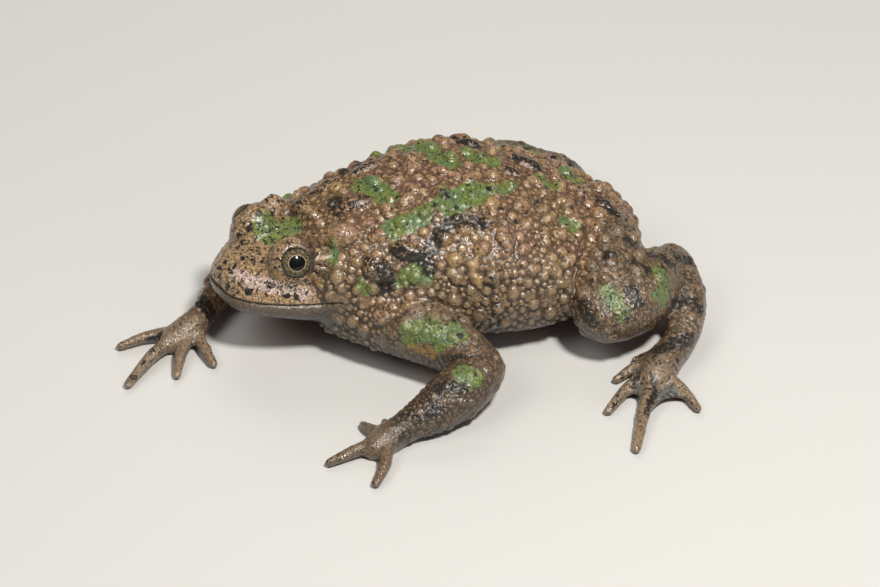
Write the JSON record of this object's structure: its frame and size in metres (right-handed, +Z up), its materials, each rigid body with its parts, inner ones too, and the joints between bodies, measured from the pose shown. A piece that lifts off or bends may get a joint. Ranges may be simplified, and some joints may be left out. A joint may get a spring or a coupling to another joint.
{
  "type": "fire bellied toad",
  "caption": "Life-size still model of a crouching toad with a warty back, bulging eyes, spread fingers and webbed hind toes, resting on its belly, hands and feet.",
  "frame": {"origin": "middle of the bounding box in plan, on the floor plane the toad rests on", "axes": "+Z up, the toad's trunk along Y with its head towards -Y, +X towards the toad's left side"},
  "size_m": [0.0794, 0.0822, 0.0226],
  "materials": {
    "skin": "moist, glossy, warty skin, tan to pinkish brown with black and green spots",
    "head_skin": "moist, glossy skin, tan with fine black speckles",
    "digit_skin": "moist, thin skin of the hands and feet",
    "eye": "wet, clear and dark"
  },
  "bodies": {
    "root": {"torso": "skin", "head": "head_skin", "eye_left": "eye", "eye_right": "eye", "upper_arm_left": "skin", "forearm_left": "skin", "hand_left": "digit_skin", "thigh_left": "skin", "shank_left": "skin", "tarsus_left": "skin", "foot_left": "digit_skin", "upper_arm_right": "skin", "forearm_right": "skin", "hand_right": "digit_skin", "thigh_right": "skin", "shank_right": "skin", "tarsus_right": "skin", "foot_right": "digit_skin"}
  },
  "joints": []
}
